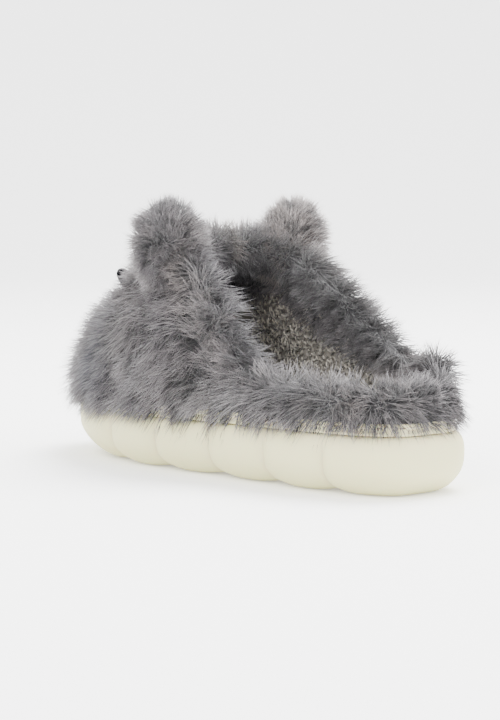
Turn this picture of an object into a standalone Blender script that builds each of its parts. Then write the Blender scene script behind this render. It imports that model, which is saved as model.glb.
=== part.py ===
"""A left slipper: a lobed foam sole, a stitched welt, a padded footbed, a furry upper with a low back,
two furry ears and two stitched eyes. Metres, +Z up, toe towards +Y, the big toe's side towards +X.
The origin is on the floor, halfway along the sole."""

import math
import random

import bmesh
import bpy
from mathutils import Matrix, Vector

# The foot that the slipper fits
LENGTH = 0.270
BALL_WIDTH = 0.106
INSTEP_HEIGHT = 0.121
HEEL_HEIGHT = 0.050

# The gap left between pieces that touch
GAP = 0.0003

# The foam sole
SOLE_HEEL = 0.030
SOLE_FOREFOOT = 0.027
TOE_SPRING = 0.005
TOE_SPRING_LENGTH = 0.070
HEEL_ROUNDNESS = 3.3
TOE_ROUNDNESS = 2.9
TOE_SWING = 0.005
LOBE_PITCH = 0.040
FIRST_NOTCH = 0.042
NOTCHES = 5
NOTCH_DEPTH = 0.0042
NOTCH_ROUNDING = 0.015
NOTCH_FADE = 0.7
FOOT_INSET = 0.016
TOP_INSET = 0.0045
TOP_EDGE_STEPS = 4
SIDE_LOBE_STEPS = 6
HEEL_LOBE_STEPS = 20
TOE_LOBE_STEPS = 22

# The welt that is stitched round the upper
WELT_INSET = 0.0055
WELT_THICKNESS = 0.0026
WELT_HEIGHT = 0.0060
WELT_BEAD = 0.0010
WELT_STEPS = 64

# The footbed
FOOTBED_THICKNESS = 0.0055
FOOTBED_ROUNDING = 0.0040
FOOTBED_STEPS = 36

# The furry upper
WALL = 0.0035
WELT_RISE = 0.08
SIDE_PUFF = 0.0035
TOE_PUFF = 0.0110
PUFF_LOW = 0.65
TOE_SLOPE = 0.54
FOREFOOT_START = 0.55
FOREFOOT_EASE = 0.40
HEEL_EASE = 0.20
ROLL_THICKNESS = 0.0090
ROLL_DEPTH = 0.0260
ROLL_CREST = 0.0032
ROLL_LARGEST_SHARE = 0.5
COLUMNS = 58
OUTER_ROWS = 9
INNER_ROWS = 7
LOCK_HEEL = 0.0085
LOCK_TOE = 0.0140
LOCK_FACING = 0.0065
LOCK_FULL_SHARE = 0.625
LOCK_TIP = 0.24
LOCK_LEAN = 0.65
LOCK_LEAN_START = 0.55
LOCK_STRAY = 0.22
LOCK_JITTER = 0.22
LOCK_CLEARANCE = 0.0020

# The ears
EAR_HALF_WIDTH = 0.0160
EAR_HALF_THICKNESS = 0.0090
EAR_HALF_HEIGHT = 0.0185
EAR_SPREAD_SHARE = 0.80
EAR_STATION_SHARE = 0.093
EAR_CENTRE_SHARE = 0.98
EAR_TILT = math.radians(16)
EAR_FOOT_SHARE = 0.40
EAR_FAN = 0.6
EAR_LOCK = 0.0070
EAR_SEGMENTS = 12
EAR_RINGS = 8

# The stitched eyes
EYE_WIDTH = 0.012
EYE_HEIGHT = 0.009
EYE_DEPTH = 0.0120
EYE_FOOT_SHARE = 0.5
EYE_SPREAD_SHARE = 0.50
EYE_STATION_SHARE = 0.280
EYE_SINK = 0.0020
EYE_CLEARING = 0.011
EYE_SEGMENTS = 12
EYE_RINGS = 6
EYE_TURNS = (0.02, 0.46)
EYE_RISES = (0.25, 0.90)
EYE_TRIES = 60

SEED = 7
FINE_STEPS = 360
TURN_STEP = 0.004
RISE_STEP = 0.01

# The footprint: share of the length from the heel, then the half width on the little toe's side and on
# the big toe's side, as shares of half the ball width.
FOOTPRINT = (
    (0.00, 0.83, 0.82),
    (0.15, 0.85, 0.83),
    (0.30, 0.86, 0.80),
    (0.45, 0.90, 0.79),
    (0.60, 0.99, 0.90),
    (0.72, 1.05, 1.00),
    (0.85, 1.06, 1.05),
    (1.00, 1.02, 1.05),
)

# The sole's side: share of its height, then how far it lies in from the footprint, from 0 at the widest
# to 1 at the edge of the floor face.
SOLE_SIDE = (
    (0.00, 1.00),
    (0.06, 0.62),
    (0.18, 0.32),
    (0.34, 0.11),
    (0.52, 0.01),
    (0.70, 0.00),
)

# The collar's line: share of the way from the heel to the toe along the footprint, then the half width as
# a share of half the ball width, the place along the shoe as a share of the length from its middle, and
# the height as a share of the way from the heel's height to the instep's.
COLLAR_LATERAL = (
    (0.00, 0.00, -0.432, 0.00),
    (0.07, 0.33, -0.424, 0.00),
    (0.16, 0.63, -0.375, 0.00),
    (0.30, 0.70, -0.270, 0.01),
    (0.42, 0.71, -0.170, 0.03),
    (0.50, 0.72, -0.085, 0.21),
    (0.57, 0.72, -0.015, 0.57),
    (0.63, 0.69, 0.045, 0.83),
    (0.72, 0.56, 0.085, 0.93),
    (0.86, 0.30, 0.098, 0.99),
    (1.00, 0.00, 0.100, 1.00),
)
COLLAR_MEDIAL = (
    (0.00, 0.00, -0.432, 0.00),
    (0.07, 0.33, -0.424, 0.01),
    (0.16, 0.63, -0.375, 0.06),
    (0.30, 0.70, -0.280, 0.17),
    (0.42, 0.71, -0.200, 0.34),
    (0.50, 0.71, -0.130, 0.53),
    (0.57, 0.71, -0.055, 0.73),
    (0.63, 0.69, 0.025, 0.88),
    (0.72, 0.56, 0.080, 0.94),
    (0.86, 0.30, 0.098, 0.99),
    (1.00, 0.00, 0.100, 1.00),
)


def clear_scene():
    for each in list(bpy.data.objects):
        bpy.data.objects.remove(each)


def smooth(share):
    """0 below 0, 1 above 1, and an even ease between."""
    share = max(0.0, min(1.0, share))
    return share * share * (3 - 2 * share)


def along(rows, share, column):
    """A column of a table at this share of its first column, on a smooth curve through the rows."""
    last = len(rows) - 1
    low = 0
    while low < last - 1 and rows[low + 1][0] <= share:
        low += 1
    here, there = rows[low], rows[low + 1]
    before, after = rows[max(low - 1, 0)], rows[min(low + 2, last)]
    width = there[0] - here[0]
    slope_here = (there[column] - before[column]) / (there[0] - before[0])
    slope_there = (after[column] - here[column]) / (after[0] - here[0])
    t = (share - here[0]) / width
    return (
        (2 * t**3 - 3 * t**2 + 1) * here[column]
        + (t**3 - 2 * t**2 + t) * width * slope_here
        + (3 * t**2 - 2 * t**3) * there[column]
        + (t**3 - t**2) * width * slope_there
    )


def footprint_point(turn):
    """A point of the footprint: turn 0 is the back of the heel, 1 the toe's tip by way of the big toe's
    side, and 2 the heel again."""
    angle = math.pi * turn
    across, ahead = abs(math.sin(angle)), -math.cos(angle)
    roundness = TOE_ROUNDNESS if ahead > 0 else HEEL_ROUNDNESS
    y = math.copysign(abs(ahead) ** (2 / roundness), ahead) * LENGTH / 2
    share = y / LENGTH + 0.5
    column = 2 if turn < 1 else 1
    half = along(FOOTPRINT, share, column) * BALL_WIDTH / 2 * across ** (2 / roundness)
    side = 1 if turn < 1 else -1
    return Vector((side * half + TOE_SWING * smooth(share * 2 - 1), y))


class Side:
    """One side of the footprint, from the heel's back to the toe's tip, measured along its length."""

    def __init__(self, medial):
        turns = [step / FINE_STEPS for step in range(FINE_STEPS + 1)]
        self.points = [footprint_point(turn if medial else 2 - turn) for turn in turns]
        self.sign = 1 if medial else -1
        self.lengths = [0.0]
        for start, end in zip(self.points, self.points[1:]):
            self.lengths.append(self.lengths[-1] + (end - start).length)
        self.length = self.lengths[-1]

    def at(self, distance, inset=0.0):
        """The point this far along the side from the heel, moved in by the inset."""
        distance = max(0.0, min(self.length, distance))
        high = next((i for i, far in enumerate(self.lengths) if far >= distance), FINE_STEPS)
        high = max(1, high)
        start, end = self.points[high - 1], self.points[high]
        step = self.lengths[high] - self.lengths[high - 1]
        share = (distance - self.lengths[high - 1]) / step
        before, after = self.points[max(high - 2, 0)], self.points[min(high + 1, FINE_STEPS)]
        tangent = (after - before).normalized()
        if distance in (0.0, self.length):
            tangent = Vector((self.sign if distance == 0.0 else -self.sign, 0.0))
        inward = Vector((-tangent.y, tangent.x)) * self.sign
        return start.lerp(end, share) + inward * inset

    def distance_to(self, y):
        """How far along the side the footprint passes this place along the shoe."""
        for i, point in enumerate(self.points[1:], 1):
            if point.y >= y:
                before = self.points[i - 1]
                share = (y - before.y) / (point.y - before.y)
                return self.lengths[i - 1] + share * (self.lengths[i] - self.lengths[i - 1])
        return self.length


def floor_rise(y):
    """How far the sole's underside is off the floor: nothing until the toe spring."""
    return TOE_SPRING * smooth((y - (LENGTH / 2 - TOE_SPRING_LENGTH)) / TOE_SPRING_LENGTH)


def sole_top(y):
    """The height of the sole's top face."""
    share = smooth(y / LENGTH + 0.5)
    return floor_rise(y) + SOLE_HEEL + (SOLE_FOREFOOT - SOLE_HEEL) * share


def ring_of(medial, lateral):
    """One closed ring from two runs of points that both start at the heel and end at the toe."""
    return medial + lateral[-2:0:-1]


def new_object(name, mesh, material):
    made = bpy.data.objects.new(name, mesh)
    mesh.materials.append(material)
    slipper.objects.link(made)
    return made


def loft(rings, around, capped):
    """A mesh through rings of points. around joins the last ring to the first, and capped closes the
    first and last rings with strips from side to side."""
    mesh = bmesh.new()
    verts = [[mesh.verts.new(point) for point in ring] for ring in rings]
    count = len(rings[0])
    pairs = list(zip(verts, verts[1:]))
    if around:
        pairs.append((verts[-1], verts[0]))
    for low, high in pairs:
        for i in range(count):
            j = (i + 1) % count
            mesh.faces.new((low[i], low[j], high[j], high[i]))
    if capped:
        for ring, flip in ((verts[0], True), (verts[-1], False)):
            for i in range(count // 2):
                far, near = (count - i) % count, count - i - 1
                corners = [ring[i], ring[i + 1]]
                if near != i + 1:
                    corners.append(ring[near])
                if far != i:
                    corners.append(ring[far])
                mesh.faces.new(corners[::-1] if flip else corners)
    bmesh.ops.recalc_face_normals(mesh, faces=mesh.faces)
    return mesh


def finished(mesh, name):
    data = bpy.data.meshes.new(name)
    mesh.to_mesh(data)
    mesh.free()
    return data


def principled(name, colour, roughness):
    material = bpy.data.materials.new(name)
    material.use_nodes = True
    shader = material.node_tree.nodes["Principled BSDF"]
    shader.inputs["Base Color"].default_value = (*colour, 1.0)
    shader.inputs["Roughness"].default_value = roughness
    shader.inputs["Metallic"].default_value = 0.0
    return material


def lobe_steps(side):
    """Distances along the side, close together at each notch, and each one's depth below the lobes."""
    places = [FIRST_NOTCH + i * LOBE_PITCH for i in range(NOTCHES)]
    notches = [side.distance_to(place - LENGTH / 2) for place in places]
    heel_steps, toe_steps = HEEL_LOBE_STEPS // 2, TOE_LOBE_STEPS // 2
    steps = [notches[0] * math.sin(math.pi / 2 * i / heel_steps) for i in range(heel_steps)]
    for start, end in zip(notches, notches[1:]):
        for i in range(SIDE_LOBE_STEPS):
            share = (1 - math.cos(math.pi * i / SIDE_LOBE_STEPS)) / 2
            steps.append(start + (end - start) * share)
    for i in range(toe_steps + 1):
        share = 1 - math.cos(math.pi / 2 * i / toe_steps)
        steps.append(notches[-1] + (side.length - notches[-1]) * share)
    found = []
    for step in steps:
        nearest = min(abs(step - notch) for notch in notches)
        near = max(0.0, 1 - nearest / NOTCH_ROUNDING)
        found.append((step, NOTCH_DEPTH * (1 - math.sqrt(1 - near * near))))
    return found


def sole_mesh():
    """Rings from the floor face up the bulging side, round the top edge and in under the welt."""
    levels = [(height, share * FOOT_INSET, 1.0) for height, share in SOLE_SIDE]
    edge_start = SOLE_SIDE[-1][0]
    for step in range(1, TOP_EDGE_STEPS + 1):
        share = step / TOP_EDGE_STEPS
        angle = math.pi / 2 * share
        height = edge_start + (1 - edge_start) * math.sin(angle)
        levels.append((height, TOP_INSET * (1 - math.cos(angle)), 1 - NOTCH_FADE * share))
    runs = {side: lobe_steps(side) for side in (medial_side, lateral_side)}
    rings = []
    for height, inset, notch_share in levels:
        halves = []
        for side, run in runs.items():
            half = []
            for distance, depth in run:
                point = side.at(distance, inset + depth * notch_share)
                low = floor_rise(point.y)
                half.append(Vector((*point, low + height * (sole_top(point.y) - low))))
            halves.append(half)
        rings.append(ring_of(*halves))
    return loft(rings, around=False, capped=True)


def welt_mesh():
    """A strip on edge round the sole's top, with a bead along its foot and a rounded top edge."""
    rim = WELT_THICKNESS / 2
    section = (
        (WELT_THICKNESS, 0.0),
        (-WELT_BEAD, 0.0),
        (-WELT_BEAD, WELT_BEAD * 1.5),
        (0.0, WELT_BEAD * 2.2),
        (0.0, WELT_HEIGHT - rim * 0.6),
        (rim * 0.7, WELT_HEIGHT),
        (WELT_THICKNESS, WELT_HEIGHT - rim * 0.4),
    )
    rings = []
    for inset, height in section:
        halves = []
        for side in (medial_side, lateral_side):
            half = []
            for i in range(WELT_STEPS // 2 + 1):
                point = side.at(side.length * i / (WELT_STEPS // 2), WELT_INSET + inset)
                half.append(Vector((*point, sole_top(point.y) + GAP + height)))
            halves.append(half)
        rings.append(ring_of(*halves))
    return loft(rings, around=True, capped=False)


def footbed_mesh():
    """A pad inside the upper, with a rounded upper edge."""
    wall_in = WELT_INSET + WELT_THICKNESS + GAP + WALL + 2 * GAP
    section = ((0.0, 0.0), (0.0, 0.6), (0.25, 0.9), (1.0, 1.0))
    rings = []
    for inset_share, share in section:
        halves = []
        for side in (medial_side, lateral_side):
            half = []
            for i in range(FOOTBED_STEPS // 2 + 1):
                inset = wall_in + inset_share * FOOTBED_ROUNDING
                point = side.at(side.length * i / (FOOTBED_STEPS // 2), inset)
                height = sole_top(point.y) + GAP + share * FOOTBED_THICKNESS
                half.append(Vector((*point, height)))
            halves.append(half)
        rings.append(ring_of(*halves))
    return loft(rings, around=False, capped=True)


def collar_point(side, share):
    """Where the collar's line passes over this share of the side."""
    rows = COLLAR_MEDIAL if side.sign > 0 else COLLAR_LATERAL
    half = along(rows, share, 1) * BALL_WIDTH / 2
    y = along(rows, share, 2) * LENGTH
    height = HEEL_HEIGHT + (INSTEP_HEIGHT - HEEL_HEIGHT) * along(rows, share, 3)
    return Vector((side.sign * half + TOE_SWING * smooth(y / LENGTH * 2), y, height))


def side_and_share(turn):
    """The side of the footprint that a turn falls on, and how far along it from the heel to the toe."""
    turn = turn % 2
    return (medial_side, turn) if turn <= 1 else (lateral_side, 2 - turn)


def upper_point(turn, rise):
    """A point of the upper's outer face: turn goes round the footprint as footprint_point's does, and
    rise goes from 0 at the sole past the welt's top edge at WELT_RISE to 1 at the collar."""
    side, share = side_and_share(turn)
    inner = side.at(side.length * share, WELT_INSET + WELT_THICKNESS + GAP)
    foot = Vector((*inner, sole_top(inner.y) + GAP))
    welt_top = foot + Vector((0.0, 0.0, WELT_HEIGHT + GAP))
    if rise <= WELT_RISE:
        return foot.lerp(welt_top, rise / WELT_RISE)
    bend = min(1.0, (rise - WELT_RISE) / (1 - WELT_RISE))
    angle = math.pi / 2 * bend
    toewards = smooth((share - FOREFOOT_START) / FOREFOOT_EASE)
    slope = 1 + TOE_SLOPE * toewards
    inwards = 1 - max(0.0, math.cos(angle)) ** slope
    reach = collar_point(side, share) - welt_top
    out = (side.at(side.length * share) - inner).normalized()
    puff = SIDE_PUFF * smooth(share / HEEL_EASE) + (TOE_PUFF - SIDE_PUFF) * toewards
    puff *= max(0.0, math.sin(math.pi * bend**PUFF_LOW))
    return welt_top + Vector((
        reach.x * inwards + out.x * puff,
        reach.y * inwards + out.y * puff,
        reach.z * math.sin(angle) ** slope,
    ))


def outward(turn, rise):
    """The upper's outer normal and the way up its face, at this turn and rise."""
    low, high = max(0.0, rise - RISE_STEP), min(1.0, rise + RISE_STEP)
    up = (upper_point(turn, high) - upper_point(turn, low)).normalized()
    round_way = upper_point(turn + TURN_STEP, rise) - upper_point(turn - TURN_STEP, rise)
    return round_way.cross(up).normalized(), up


def rises(rows):
    """Even steps up the face from the sole to the collar, with one at the welt's top edge."""
    return [0.0] + [WELT_RISE + (1 - WELT_RISE) * row / (rows - 1) for row in range(rows)]


def wall_at(turn, rise):
    """The wall's thickness: even, then swelling into the collar's roll."""
    height = (upper_point(turn, 1.0) - upper_point(turn, 0.0)).length
    roll = min(ROLL_LARGEST_SHARE, ROLL_DEPTH / height)
    return WALL + (ROLL_THICKNESS - WALL) * smooth((rise - (1 - roll)) / roll)


def upper_rings(grow=0.0, deepen=0.0):
    """Rings up the outer face, over the collar and down the inner face. grow moves the outer face and the
    collar out, and deepen moves the inner face in."""
    turns = [2 * i / COLUMNS for i in range(COLUMNS)]
    rings = []
    for rise in rises(OUTER_ROWS):
        rings.append([upper_point(turn, rise) + outward(turn, rise)[0] * grow for turn in turns])
    crest = []
    for turn in turns:
        out, up = outward(turn, 1.0)
        crest.append(upper_point(turn, 1.0) - out * ROLL_THICKNESS / 2 + up * (ROLL_CREST + grow))
    rings.append(crest)
    for rise in reversed(rises(INNER_ROWS)):
        ring = []
        for turn in turns:
            out, _ = outward(turn, rise)
            if rise == 0.0:
                out = Vector((out.x, out.y, 0.0)).normalized()
            ring.append(upper_point(turn, rise) - out * (wall_at(turn, rise) + deepen))
        rings.append(ring)
    return rings


def grow_locks(mesh, locks, chance):
    """Each lock is a face, the way it points and its length: the face is drawn out and narrows to a tip."""
    for face, direction, length in locks:
        face_mid = face.calc_center_median()
        drawn = bmesh.ops.extrude_discrete_faces(mesh, faces=[face])["faces"][0]
        reach = length * (1 + LOCK_JITTER * (chance.random() * 2 - 1))
        for vert in drawn.verts:
            vert.co = face_mid + direction * reach + (vert.co - face_mid) * LOCK_TIP


def ear_place(sign):
    """Moves an ear from the origin to its seat, tilted out to its side."""
    centre = Vector((
        sign * EAR_SPREAD_SHARE * BALL_WIDTH / 2 + TOE_SWING / 2,
        EAR_STATION_SHARE * LENGTH,
        EAR_CENTRE_SHARE * INSTEP_HEIGHT,
    ))
    return Matrix.Translation(centre) @ Matrix.Rotation(sign * EAR_TILT, 4, "Y")


def in_an_ear(point):
    """Whether the point lies in an ear or among its locks."""
    reach = EAR_LOCK * (1 + LOCK_JITTER) + LOCK_CLEARANCE
    half = Vector((EAR_HALF_WIDTH, EAR_HALF_THICKNESS, EAR_HALF_HEIGHT)) + Vector((reach, reach, reach))
    for sign in (1, -1):
        local = ear_place(sign).inverted() @ point
        if Vector((local.x / half.x, local.y / half.y, local.z / half.z)).length < 1:
            return True
    return False


def lock_meets_an_ear(face, direction, length):
    """Whether any of the lock's four edges, at its longest, runs into an ear."""
    middle = face.calc_center_median()
    for vert in face.verts:
        for share in (0.0, 0.35, 0.7, 1.0):
            narrow = 1 + (LOCK_TIP - 1) * share
            along_lock = direction * length * (1 + LOCK_JITTER) * share
            if in_an_ear(middle + (vert.co - middle) * narrow + along_lock):
                return True
    return False


def eye_place(sign):
    """Where an eye sits on the vamp: the outer face's point nearest its station, and the normal there."""
    wanted = Vector((sign * EYE_SPREAD_SHARE * BALL_WIDTH / 2, EYE_STATION_SHARE * LENGTH))
    shares = [i / (EYE_TRIES - 1) for i in range(EYE_TRIES)]
    turns = [1 - sign * (EYE_TURNS[0] + (EYE_TURNS[1] - EYE_TURNS[0]) * share) for share in shares]
    rises_tried = [EYE_RISES[0] + (EYE_RISES[1] - EYE_RISES[0]) * share for share in shares]
    tries = [(turn, rise) for turn in turns for rise in rises_tried]
    turn, rise = min(tries, key=lambda place: (upper_point(*place).xy - wanted).length)
    return upper_point(turn, rise), outward(turn, rise)[0]


def lock_direction(face, turn, rise, chance):
    """Away from the face, down with the nap low on the upper and up near the collar, and a little astray."""
    _, up = outward(turn, rise)
    across = face.normal.cross(up)
    lean = LOCK_LEAN * (2 * smooth((rise - LOCK_LEAN_START) / (1 - LOCK_LEAN_START)) - 1)
    stray = LOCK_STRAY * (chance.random() * 2 - 1)
    return (face.normal + up * lean + across * stray).normalized()


def upper_mesh():
    """The hollow upper, with locks of fur drawn out of its outer face, its collar and its facing."""
    mesh = loft(upper_rings(), around=True, capped=False)
    mesh.faces.ensure_lookup_table()
    chance = random.Random(SEED)
    steps = rises(OUTER_ROWS)
    rise_of_row = {row: (steps[row] + steps[row + 1]) / 2 for row in range(1, OUTER_ROWS)}
    collar_rows = (OUTER_ROWS, OUTER_ROWS + 1, OUTER_ROWS + 2)
    rise_of_row.update({row: 1.0 for row in collar_rows})
    eyes = [eye_place(sign)[0] for sign in (1, -1)]
    locks = []
    for row, rise in rise_of_row.items():
        for column in range(COLUMNS):
            if row in collar_rows and (row + column) % 2:
                continue
            face = mesh.faces[row * COLUMNS + column]
            middle = face.calc_center_median()
            turn = 2 * (column + 0.5) / COLUMNS
            direction = lock_direction(face, turn, rise, chance)
            full = smooth(side_and_share(turn)[1] / LOCK_FULL_SHARE)
            length = LOCK_HEEL + (LOCK_TOE - LOCK_HEEL) * full
            if row in collar_rows[1:]:
                length = LOCK_FACING
            lowest = sole_top(middle.y) + WELT_HEIGHT + LOCK_CLEARANCE - middle.z
            direction.z = max(direction.z, lowest / (length * (1 + LOCK_JITTER)))
            if min((middle - eye).length for eye in eyes) < EYE_CLEARING:
                continue
            if lock_meets_an_ear(face, direction, length):
                continue
            locks.append((face, direction, length))
    grow_locks(mesh, locks, chance)
    return mesh


def seat_cutter():
    """The space that the upper fills, grown by the gap, for cutting what sits on it."""
    mesh = loft(upper_rings(grow=GAP, deepen=ROLL_THICKNESS), around=True, capped=False)
    cutter = bpy.data.objects.new("seat_cutter", finished(mesh, "seat_cutter"))
    cutters.objects.link(cutter)
    cutter.hide_render = True
    cutter.display_type = "WIRE"
    return cutter


def seated(piece, cutter):
    """Cuts the piece's foot to the upper's outer face."""
    cut = piece.modifiers.new("seat", "BOOLEAN")
    cut.operation = "DIFFERENCE"
    cut.object = cutter
    return piece


def face_order(face):
    """Sorts faces by where they are, so that each lock's chance is the same every time."""
    return tuple(round(value, 6) for value in face.calc_center_median())


def ear_mesh(sign):
    """A plump rounded ear with locks all over but its foot."""
    mesh = bmesh.new()
    bmesh.ops.create_uvsphere(mesh, u_segments=EAR_SEGMENTS, v_segments=EAR_RINGS, radius=1.0)
    size = Matrix.Diagonal((EAR_HALF_WIDTH, EAR_HALF_THICKNESS, EAR_HALF_HEIGHT, 1.0))
    bmesh.ops.transform(mesh, matrix=size, verts=mesh.verts)
    bmesh.ops.recalc_face_normals(mesh, faces=mesh.faces)
    chance = random.Random(SEED + sign)
    locks = []
    for face in sorted(mesh.faces, key=face_order):
        middle = face.calc_center_median()
        if len(face.verts) == 4 and middle.z > -EAR_HALF_HEIGHT * EAR_FOOT_SHARE:
            direction = (face.normal + middle.normalized() * EAR_FAN).normalized()
            locks.append((face, direction, EAR_LOCK))
    grow_locks(mesh, locks, chance)
    bmesh.ops.transform(mesh, matrix=ear_place(sign), verts=mesh.verts)
    return mesh


def eye_mesh(sign):
    """A raised oval of black yarn, standing on the vamp."""
    mesh = bmesh.new()
    bmesh.ops.create_uvsphere(mesh, u_segments=EYE_SEGMENTS, v_segments=EYE_RINGS, radius=1.0)
    size = Matrix.Diagonal((EYE_WIDTH / 2, EYE_HEIGHT / 2, EYE_DEPTH, 1.0))
    bmesh.ops.transform(mesh, matrix=size, verts=mesh.verts)
    for vert in mesh.verts:
        if vert.co.z < 0:
            vert.co.z *= EYE_FOOT_SHARE
    point, out = eye_place(sign)
    facing = out.to_track_quat("Z", "Y").to_matrix().to_4x4()
    place = Matrix.Translation(point - out * EYE_SINK) @ facing
    bmesh.ops.transform(mesh, matrix=place, verts=mesh.verts)
    return mesh


clear_scene()
slipper = bpy.data.collections.new("slipper")
cutters = bpy.data.collections.new("cutters")
bpy.context.scene.collection.children.link(slipper)
bpy.context.scene.collection.children.link(cutters)

medial_side = Side(medial=True)
lateral_side = Side(medial=False)

foam = principled("foam", (0.76, 0.74, 0.64), 0.62)
welt_foam = principled("welt_foam", (0.78, 0.74, 0.62), 0.60)
fur = principled("fur", (0.27, 0.26, 0.27), 0.95)
lining = principled("lining", (0.24, 0.22, 0.18), 1.0)
yarn = principled("yarn", (0.006, 0.006, 0.007), 0.55)

new_object("sole", finished(sole_mesh(), "sole"), foam)
new_object("welt", finished(welt_mesh(), "welt"), welt_foam)
new_object("footbed", finished(footbed_mesh(), "footbed"), lining)
new_object("upper", finished(upper_mesh(), "upper"), fur)
seat = seat_cutter()
for sign, side_name in ((1, "medial"), (-1, "lateral")):
    seated(new_object(f"ear_{side_name}", finished(ear_mesh(sign), f"ear_{side_name}"), fur), seat)
    seated(new_object(f"eye_{side_name}", finished(eye_mesh(sign), f"eye_{side_name}"), yarn), seat)
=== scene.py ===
"""A left slipper in grey faux fur with round ears, stitched eyes and a lobed foam sole, on a pale floor."""

import math
from bisect import bisect_left

import bmesh
import bpy
from mathutils import Matrix, Vector


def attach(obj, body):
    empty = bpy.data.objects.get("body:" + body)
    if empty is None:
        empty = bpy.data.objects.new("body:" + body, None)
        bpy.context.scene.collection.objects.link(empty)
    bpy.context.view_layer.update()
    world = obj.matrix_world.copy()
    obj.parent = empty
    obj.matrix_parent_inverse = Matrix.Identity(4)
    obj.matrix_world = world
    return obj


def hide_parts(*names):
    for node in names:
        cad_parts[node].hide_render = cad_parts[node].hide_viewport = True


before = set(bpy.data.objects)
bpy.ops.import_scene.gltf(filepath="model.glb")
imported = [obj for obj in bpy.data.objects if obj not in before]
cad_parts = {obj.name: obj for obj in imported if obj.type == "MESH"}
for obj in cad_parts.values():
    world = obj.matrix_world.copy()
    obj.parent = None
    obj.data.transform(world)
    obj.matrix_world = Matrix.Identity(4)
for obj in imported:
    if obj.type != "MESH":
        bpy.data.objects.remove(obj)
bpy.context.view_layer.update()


# The sole. One block of cream foam, moulded as soft lobes round its edge with upright notches between
# them. It is a loft of rings from the floor face, up the bulging side and in over the rounded top edge.
LENGTH = 0.270
BALL_WIDTH = 0.106
GAP = 0.0003
SOLE_HEEL = 0.030
SOLE_FOREFOOT = 0.027
TOE_SPRING = 0.005
TOE_SPRING_LENGTH = 0.070
HEEL_ROUNDNESS = 3.3
TOE_ROUNDNESS = 2.9
TOE_SWING = 0.005
LOBE_PITCH = 0.040
FIRST_NOTCH = 0.042
NOTCHES = 5
NOTCH_DEPTH = 0.0042
NOTCH_ROUNDING = 0.015
NOTCH_SOFTNESS = 0.985
NOTCH_LIFT = 0.0021
NOTCH_LIFT_HEIGHT = 0.35
FOOT_INSET = 0.016
TOP_INSET = 0.0045
FINE_STEPS = 360
SIDE_LOBE_STEPS = 18
END_LOBE_STEPS = 30
NOTCH_FADE = 0.7
TOP_EDGE_STEPS = 8
CREAM = (0.60, 0.575, 0.315)
# Painted shade for the foam down in the notches.
NOTCH_SHADE_CREAM = (0.56, 0.50, 0.35)
# A darker, warmer cream for patches towards the foam's top edge.
TOP_EDGE_CREAM = (0.54, 0.46, 0.33)

# Share of the length from the heel, then the half width on the little toe's side and on the big toe's
# side, as shares of half the ball width.
FOOTPRINT = (
    (0.00, 0.83, 0.82),
    (0.15, 0.85, 0.83),
    (0.30, 0.86, 0.80),
    (0.45, 0.90, 0.79),
    (0.60, 0.99, 0.90),
    (0.72, 1.05, 1.00),
    (0.85, 1.06, 1.05),
    (1.00, 1.02, 1.05),
)

# Share of the sole's height, then how far its side lies in from the footprint, as a share of FOOT_INSET.
SOLE_SIDE = (
    (0.00, 1.00),
    (0.02, 0.80),
    (0.06, 0.62),
    (0.11, 0.46),
    (0.18, 0.32),
    (0.26, 0.20),
    (0.34, 0.11),
    (0.43, 0.045),
    (0.52, 0.01),
    (0.62, 0.00),
    (0.70, 0.00),
)


def smooth(share):
    """0 below 0, 1 above 1, and an even ease between."""
    share = max(0.0, min(1.0, share))
    return share * share * (3 - 2 * share)


def along(rows, share, column):
    """A column of a table at this share of its first column, on a smooth curve through the rows."""
    last = len(rows) - 1
    low = 0
    while low < last - 1 and rows[low + 1][0] <= share:
        low += 1
    here, there = rows[low], rows[low + 1]
    before, after = rows[max(low - 1, 0)], rows[min(low + 2, last)]
    width = there[0] - here[0]
    slope_here = (there[column] - before[column]) / (there[0] - before[0])
    slope_there = (after[column] - here[column]) / (after[0] - here[0])
    t = (share - here[0]) / width
    return (
        (2 * t**3 - 3 * t**2 + 1) * here[column]
        + (t**3 - 2 * t**2 + t) * width * slope_here
        + (3 * t**2 - 2 * t**3) * there[column]
        + (t**3 - t**2) * width * slope_there
    )


def footprint_point(turn):
    """A point of the footprint: turn 0 is the heel's back, 1 the toe's tip, past the big toe's side."""
    angle = math.pi * turn
    across, ahead = abs(math.sin(angle)), -math.cos(angle)
    roundness = TOE_ROUNDNESS if ahead > 0 else HEEL_ROUNDNESS
    y = math.copysign(abs(ahead) ** (2 / roundness), ahead) * LENGTH / 2
    share = y / LENGTH + 0.5
    column = 2 if turn < 1 else 1
    half = along(FOOTPRINT, share, column) * BALL_WIDTH / 2 * across ** (2 / roundness)
    side = 1 if turn < 1 else -1
    return Vector((side * half + TOE_SWING * smooth(share * 2 - 1), y))


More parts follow.
